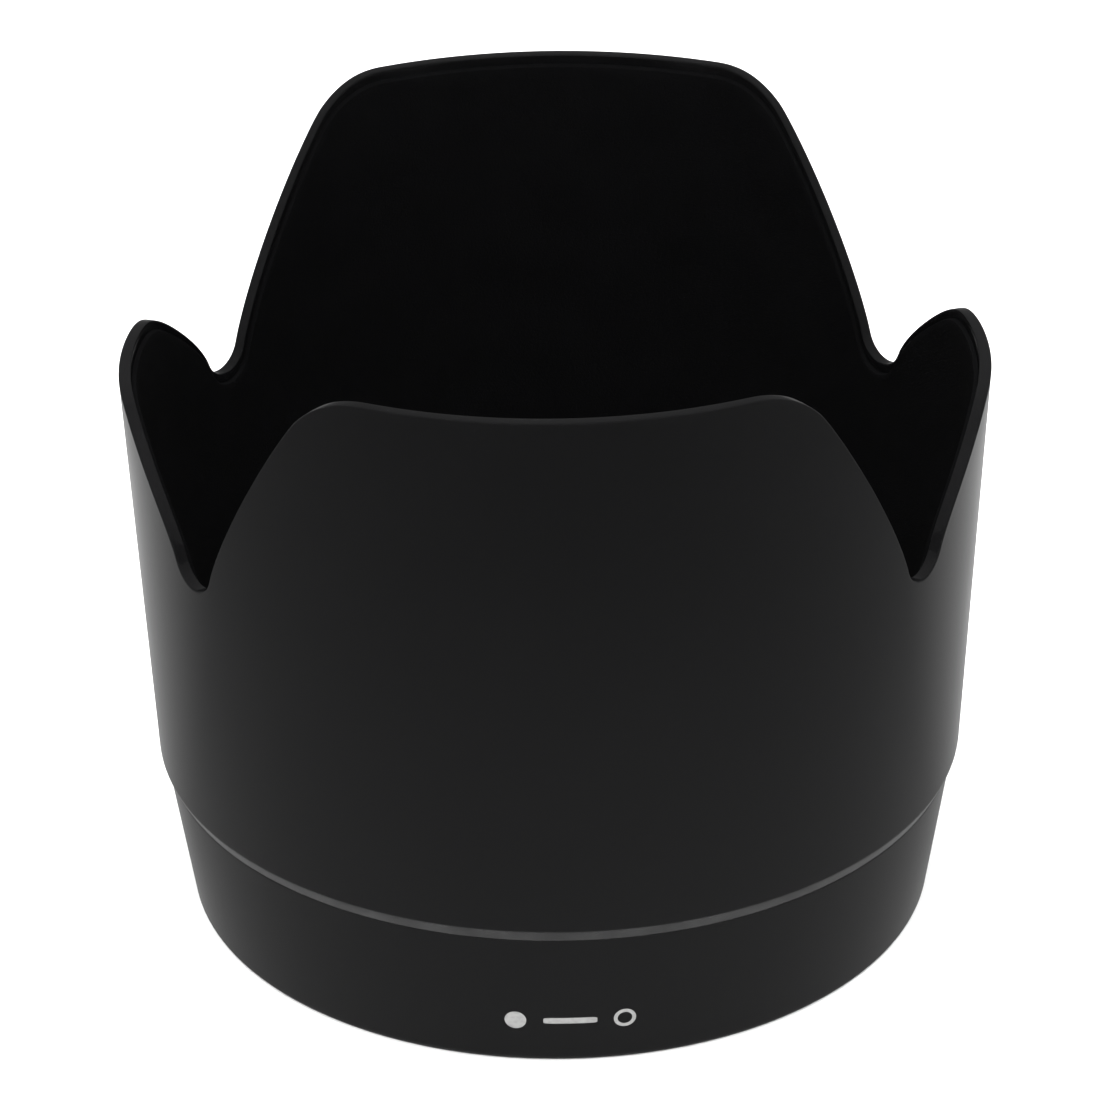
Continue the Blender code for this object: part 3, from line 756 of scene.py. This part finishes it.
def lining_section(rim):
    """Rows up the back of the skin and down its face, both offset inwards from the wall."""
    top = rim - FLOCK_SETBACK
    back, face = BARREL_WALL + FLOCK_BACK, BARREL_WALL + FLOCK_FACE
    rows = []
    for share in (1.0, 0.75, 0.5, 0.25, 0.0):
        z = FLOCK_FOOT + (top - FLOCK_FOOT) * share
        rows.append((wall_radius(z) - back, z))
    for share in (0.004, 0.012, 0.03, 0.1, 0.25, 0.5, 0.75, 0.9, 0.97, 0.988, 0.996):
        z = FLOCK_FOOT + (top - FLOCK_FOOT) * share
        softness = 0.25 * MM * max(0.0, 1 - min(share, 1 - share) / 0.012) ** 2
        rows.append((wall_radius(z) - face + softness, z))
    return rows


def flocked_fibre():
    """Black flock: a tangle of fibre ends as bump, and a trace of sheen over a dead ground."""
    finish, tree, shader = new_finish("flock")
    shader.inputs["Roughness"].default_value = 1.0
    shader.inputs["IOR"].default_value = 1.2
    shader.inputs["Specular IOR Level"].default_value = 0.03
    shader.inputs["Sheen Weight"].default_value = 0.002
    shader.inputs["Sheen Roughness"].default_value = 0.6
    place = shader_node(tree, "TexCoord").outputs["Object"]
    fibres = noise(tree, place, 4200.0, 4.0, 0.7)
    nap = noise(tree, place, 150.0)
    ends = span(tree, fibres, 0.35, 0.65, 0.0, 1.0)
    brushed = shader_node(tree, "Mix", {"Factor": 0.55}, data_type="FLOAT")
    tree.links.new(ends, brushed.inputs["A"])
    tree.links.new(nap, brushed.inputs["B"])
    shade = brushed.outputs["Result"]
    colour = blend_colours(tree, shade, (0.0014, 0.0014, 0.0015), (0.0036, 0.0036, 0.0038))
    tree.links.new(colour, shader.inputs["Base Color"])
    bump = shader_node(tree, "Bump", {"Strength": 0.7, "Distance": 0.1 * MM})
    tree.links.new(fibres, bump.inputs["Height"])
    tree.links.new(bump.outputs["Normal"], shader.inputs["Normal"])
    return finish


lining_rows = along_rim(lining_section(RIM_Z))
lining_mesh = grid_mesh("flock_skin", lining_rows, wrap_along=True)
fit_piece("flock_skin", lining_mesh, flocked_fibre(), "hood", "flock", "flock_lining")


# ---------------------------------------------------------------------------------------------
# Index marks: a dot, a bar and a ring pad-printed in light ink on the front of the collar, to
# be lined up with the lens and then turned home.  The ink stands a few hundredths proud.

MARK_HEIGHT = 6.0 * MM
INK_THICK = 0.03 * MM
DOT_RADIUS = 1.25 * MM
BAR_HALF_LENGTH = 3.1 * MM
BAR_HALF_WIDTH = 0.42 * MM
RING_MARK_OUTER = 1.3 * MM
RING_MARK_INNER = 0.85 * MM
MARK_SPACING = 6.3 * MM
MARK_SHIFT = 0.6 * MM


def printed_mark(middle, inner, outer):
    """Ink between two closed outlines, laid on the collar's cone.

    A point is the inner outline eased towards the outer one; its first number is an arc length
    round the collar and its second a step up it, and the ink's face stands proud of its back.
    """
    shares = np.array([0.0, 0.25, 0.5, 0.75, 0.97, 1.0, 1.0, 0.5, 0.0])[:, None, None]
    proud = np.array([1.0, 1.0, 1.0, 1.0, 0.95, 0.6, -0.3, -0.3, -0.3])[:, None] * INK_THICK
    flat = inner[None] + (outer - inner)[None] * shares
    z = MARK_HEIGHT + flat[:, :, 1]
    radius = collar_radius(z) + proud
    angle = (flat[:, :, 0] + middle + MARK_SHIFT) / collar_radius(MARK_HEIGHT) - math.pi / 2
    return np.stack([radius * np.cos(angle), radius * np.sin(angle), z], axis=-1)


def ink_finish():
    """Matt white ink, thin enough that the black under it turns it to an uneven light grey."""
    finish, tree, shader = new_finish("index_ink")
    place = shader_node(tree, "TexCoord").outputs["Object"]
    cover = noise(tree, place, 1600.0, 4.0, 0.6)
    thin = span(tree, cover, 0.3, 0.55, 0.0, 1.0)
    tree.links.new(blend_colours(tree, thin, (0.24, 0.24, 0.237), (0.32, 0.32, 0.315)),
                   shader.inputs["Base Color"])
    tree.links.new(span(tree, cover, 0.3, 0.7, 0.5, 0.7), shader.inputs["Roughness"])
    bump = shader_node(tree, "Bump", {"Strength": 0.3, "Distance": 0.01 * MM})
    tree.links.new(cover, bump.inputs["Height"])
    tree.links.new(bump.outputs["Normal"], shader.inputs["Normal"])
    return finish


index_ink = ink_finish()
swing = evenly(96)
circle = np.stack([np.cos(swing), np.sin(swing)], axis=-1)
bar = np.sign(circle) * np.abs(circle) ** 0.25 * np.array([BAR_HALF_LENGTH, BAR_HALF_WIDTH])
marks = {
    "index_dot": (-MARK_SPACING, 0 * circle, DOT_RADIUS * circle),
    "index_bar": (0.0, 0 * circle, bar),
    "index_ring": (MARK_SPACING, RING_MARK_INNER * circle, RING_MARK_OUTER * circle),
}
for name, (middle, inner, outer) in marks.items():
    mark_mesh = grid_mesh(name, printed_mark(middle, inner, outer), wrap_along=name == "index_ring")
    fit_piece(name, mark_mesh, index_ink, "hood", "collar_plastic")


# ---------------------------------------------------------------------------------------------
# Studio: a white sheet that sweeps up into a wall all round, under two soft lamps.  Reflections
# see neither of them, but a glowing grey sheet just under the table and a dim even room.

SWEEP_RADIUS = 2.2
SWEEP_BEND = 0.8
SWEEP_HEIGHT = 2.6
SHEET_RADIUS = 1.6


def stage_piece(name, profile, finish):
    """A turned stage surface with its finish."""
    mesh = grid_mesh(name, turned(profile, evenly(96)))
    mesh.materials.append(finish)
    piece = bpy.data.objects.new(name, mesh)
    bpy.context.scene.collection.objects.link(piece)
    return piece


paper, _, paper_shader = new_finish("white_paper", "BsdfDiffuse")
paper_shader.inputs["Color"].default_value = (0.95, 0.95, 0.95, 1.0)
sweep_profile = [(0.0, 0.0), (0.3, 0.0), (1.0, 0.0)]
sweep_profile += [
    (SWEEP_RADIUS + SWEEP_BEND * math.sin(a), SWEEP_BEND * (1 - math.cos(a)))
    for a in np.linspace(0, math.pi / 2, 24)
]
sweep_profile += [(SWEEP_RADIUS + SWEEP_BEND, SWEEP_HEIGHT)]
sweep = stage_piece("floor", sweep_profile, paper)
sweep.visible_glossy = False

grey, grey_tree, grey_glow = new_finish("grey_sheet", "Emission")
grey_place = shader_node(grey_tree, "TexCoord").outputs["Object"]
grey_split = shader_node(grey_tree, "SeparateXYZ")
grey_away = shader_node(grey_tree, "VectorMath", operation="LENGTH")
grey_tree.links.new(grey_place, grey_split.inputs["Vector"])
grey_tree.links.new(grey_place, grey_away.inputs[0])
# The sheet's glow is a sum of three: faint under the hood itself, slowly brighter towards the
# back, and brightest in a patch close behind the hood.
near = span(grey_tree, grey_away.outputs["Value"], 0.045, 0.15, 0.11, 0.0)
to_back = span(grey_tree, grey_split.outputs["Y"], -0.22, 0.03, 0.07, 0.24)
behind = shader_node(grey_tree, "Math", operation="MULTIPLY")
grey_tree.links.new(span(grey_tree, grey_split.outputs["Y"], 0.0, 0.09, 0.0, 0.4), behind.inputs[0])
grey_tree.links.new(
    span(grey_tree, grey_away.outputs["Value"], 0.13, 0.20, 1.0, 0.0), behind.inputs[1]
)
grey_sum = near
for share in (to_back, behind.outputs["Value"]):
    adding = shader_node(grey_tree, "Math", operation="ADD")
    grey_tree.links.new(grey_sum, adding.inputs[0])
    grey_tree.links.new(share, adding.inputs[1])
    grey_sum = adding.outputs["Value"]
grey_tree.links.new(grey_sum, grey_glow.inputs["Strength"])
sheet_profile = [(0.0, -0.3 * MM), (0.1, -0.3 * MM), (SHEET_RADIUS, -0.3 * MM)]
sheet = stage_piece("reflecting_sheet", sheet_profile, grey)
sheet.visible_camera = False
sheet.visible_diffuse = False
sheet.visible_shadow = False

room = bpy.data.worlds.new("room")
room.use_nodes = True
room.node_tree.nodes["Background"].inputs["Color"].default_value = (1.0, 1.0, 1.0, 1.0)
room.node_tree.nodes["Background"].inputs["Strength"].default_value = 0.105
bpy.context.scene.world = room

for name, hang, width, power in (
    ("overhead_light", (0.0, 0.1, 1.9), 2.2, 98.0),
    ("front_light", (-0.15, -1.7, 1.5), 1.2, 26.0),
):
    lamp_data = bpy.data.lights.new(name, "AREA")
    lamp_data.shape = "SQUARE"
    lamp_data.size = width
    lamp_data.energy = power
    lamp = bpy.data.objects.new(name, lamp_data)
    lamp.location = hang
    lamp.rotation_mode = "QUATERNION"
    lamp.rotation_quaternion = (-lamp.location).to_track_quat("-Z", "Y")
    lamp.visible_glossy = False
    bpy.context.scene.collection.objects.link(lamp)


# ---------------------------------------------------------------------------------------------
# Camera: a long lens held in front of the hood and above it, tipped down to look in over the
# front petal.  It stands a trace to one side of the middle and is rolled by less than a degree.

camera_data = bpy.data.cameras.new("camera")
camera_data.lens = 157.65
camera_data.sensor_width = 36.0
camera_data.clip_start = 0.01
camera_data.clip_end = 50.0
camera = bpy.data.objects.new("camera", camera_data)
camera_pan = Matrix.Rotation(math.radians(0.096), 4, "Z")
camera_tilt = Matrix.Rotation(math.radians(90.0 - 28.281), 4, "X")
camera_roll = Matrix.Rotation(math.radians(-0.717), 4, "Z")
camera_place = Matrix.Translation((0.0, -506.06 * MM, 314.8 * MM))
camera_swing = Matrix.Rotation(math.radians(-0.349), 4, "Z")
camera.matrix_world = camera_swing @ camera_place @ camera_pan @ camera_tilt @ camera_roll
bpy.context.scene.collection.objects.link(camera)
bpy.context.scene.camera = camera
bpy.context.scene.view_settings.view_transform = "Standard"
